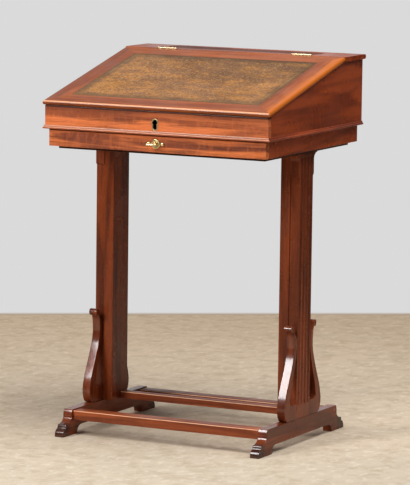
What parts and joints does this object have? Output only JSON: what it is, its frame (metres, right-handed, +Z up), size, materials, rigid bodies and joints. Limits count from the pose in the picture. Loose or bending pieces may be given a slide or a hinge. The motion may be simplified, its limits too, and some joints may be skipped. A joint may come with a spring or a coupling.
{
  "type": "slant-top writing table",
  "caption": "Slant-top writing table: hinged leather-lined lid over a desk box, frieze drawer, fluted end supports with scroll brackets on sled feet.",
  "frame": {"origin": "on the floor under the middle of the table's bounding box", "axes": "+X to the sitter's right, as seen from the front; the front with the drawer faces -Y; +Z up"},
  "size_m": [0.589, 0.5416, 0.9046],
  "materials": {
    "left_sled_foot": "French polished",
    "right_sled_foot": "French polished",
    "left_fluted_pilaster": "French polished",
    "right_fluted_pilaster": "French polished",
    "left_inner_post": "French polished",
    "right_inner_post": "French polished",
    "left_front_scroll_bracket": "French polished",
    "left_rear_scroll_bracket": "French polished",
    "right_front_scroll_bracket": "French polished",
    "right_rear_scroll_bracket": "French polished",
    "front_stretcher": "French polished",
    "rear_stretcher": "French polished",
    "middle_stretcher": "French polished",
    "under_board": "waxed",
    "left_frieze_rail": "French polished",
    "right_frieze_rail": "French polished",
    "back_frieze_rail": "French polished",
    "box_front": "French polished",
    "left_box_side": "French polished",
    "right_box_side": "French polished",
    "box_back": "French polished",
    "box_floor": "waxed",
    "front_base_moulding": "French polished",
    "left_base_moulding": "French polished",
    "right_base_moulding": "French polished",
    "top_ledge": "French polished",
    "keyhole_escutcheon": "polished",
    "lock_case": "polished",
    "left_hinge_ledge_leaf": "polished",
    "right_hinge_ledge_leaf": "polished",
    "left_hinge_pin": "polished",
    "right_hinge_pin": "polished",
    "lid_front_rail": "French polished",
    "lid_back_rail": "French polished",
    "lid_left_stile": "French polished",
    "lid_right_stile": "French polished",
    "lid_panel": "waxed",
    "leather_inset": "worn, tooled border",
    "lock_strike_plate": "polished",
    "left_hinge_lid_leaf": "polished",
    "right_hinge_lid_leaf": "polished",
    "drawer_front": "French polished",
    "drawer_left_side": "unpolished",
    "drawer_right_side": "unpolished",
    "drawer_back": "unpolished",
    "drawer_bottom": "unpolished",
    "pull_rose": "polished",
    "drawer_pull": "polished",
    "pull_nut": "polished",
    "lock_bolt": "bright"
  },
  "bodies": {
    "table": {"left_sled_foot": "left_sled_foot", "right_sled_foot": "right_sled_foot", "left_fluted_pilaster": "left_fluted_pilaster", "right_fluted_pilaster": "right_fluted_pilaster", "left_inner_post": "left_inner_post", "right_inner_post": "right_inner_post", "left_front_scroll_bracket": "left_front_scroll_bracket", "left_rear_scroll_bracket": "left_rear_scroll_bracket", "right_front_scroll_bracket": "right_front_scroll_bracket", "right_rear_scroll_bracket": "right_rear_scroll_bracket", "front_stretcher": "front_stretcher", "rear_stretcher": "rear_stretcher", "middle_stretcher": "middle_stretcher", "under_board": "under_board", "left_frieze_rail": "left_frieze_rail", "right_frieze_rail": "right_frieze_rail", "back_frieze_rail": "back_frieze_rail", "box_front": "box_front", "left_box_side": "left_box_side", "right_box_side": "right_box_side", "box_back": "box_back", "box_floor": "box_floor", "front_base_moulding": "front_base_moulding", "left_base_moulding": "left_base_moulding", "right_base_moulding": "right_base_moulding", "top_ledge": "top_ledge", "keyhole_escutcheon": "keyhole_escutcheon", "lock_case": "lock_case", "left_hinge_ledge_leaf": "left_hinge_ledge_leaf", "right_hinge_ledge_leaf": "right_hinge_ledge_leaf", "left_hinge_pin": "left_hinge_pin", "right_hinge_pin": "right_hinge_pin"},
    "lid": {"lid_front_rail": "lid_front_rail", "lid_back_rail": "lid_back_rail", "lid_left_stile": "lid_left_stile", "lid_right_stile": "lid_right_stile", "lid_panel": "lid_panel", "leather_inset": "leather_inset", "lock_strike_plate": "lock_strike_plate", "left_hinge_lid_leaf": "left_hinge_lid_leaf", "right_hinge_lid_leaf": "right_hinge_lid_leaf"},
    "drawer": {"drawer_front": "drawer_front", "drawer_left_side": "drawer_left_side", "drawer_right_side": "drawer_right_side", "drawer_back": "drawer_back", "drawer_bottom": "drawer_bottom", "pull_rose": "pull_rose", "drawer_pull": "drawer_pull", "pull_nut": "pull_nut"},
    "bolt": {"lock_bolt": "lock_bolt"}
  },
  "joints": [
    {"name": "lid_hinge", "type": "hinge", "parent": "table", "child": "lid", "pos_m": [0, 0.1548, 0.9022], "axis": [-1, 0, 0], "range_deg": [0, 190]},
    {"name": "drawer_slide", "type": "slide", "parent": "table", "child": "drawer", "axis": [0, -1, 0], "range_m": [0, 0.3]},
    {"name": "lock_bolt_slide", "type": "slide", "parent": "table", "child": "bolt", "axis": [0, 0, 1], "range_m": [0, 0.005]}
  ]
}
